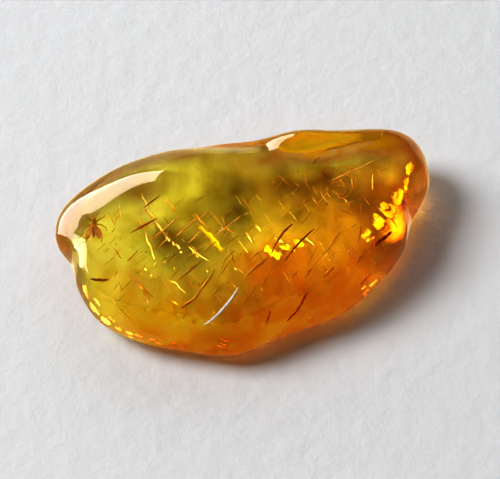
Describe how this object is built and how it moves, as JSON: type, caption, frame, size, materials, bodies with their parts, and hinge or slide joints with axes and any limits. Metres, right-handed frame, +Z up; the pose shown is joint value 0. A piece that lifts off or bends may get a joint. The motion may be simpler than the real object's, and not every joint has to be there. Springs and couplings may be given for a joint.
{
  "type": "insect in amber",
  "caption": "Polished free-form nugget of clear honey amber, with a small gnat sealed near its thin end.",
  "frame": {"origin": "middle of the foot print, on the surface that the nugget rests on", "axes": "+X along the nugget's length towards its broad right end, +Y towards its back edge, +Z up out of its top face"},
  "size_m": [0.036, 0.0238, 0.0099],
  "materials": {
    "amber": "clear honey amber, polished",
    "chitin": "dark brown chitin, satin"
  },
  "bodies": {
    "root": {"amber_upper": "amber", "amber_lower": "amber", "insect": "chitin"}
  },
  "joints": []
}
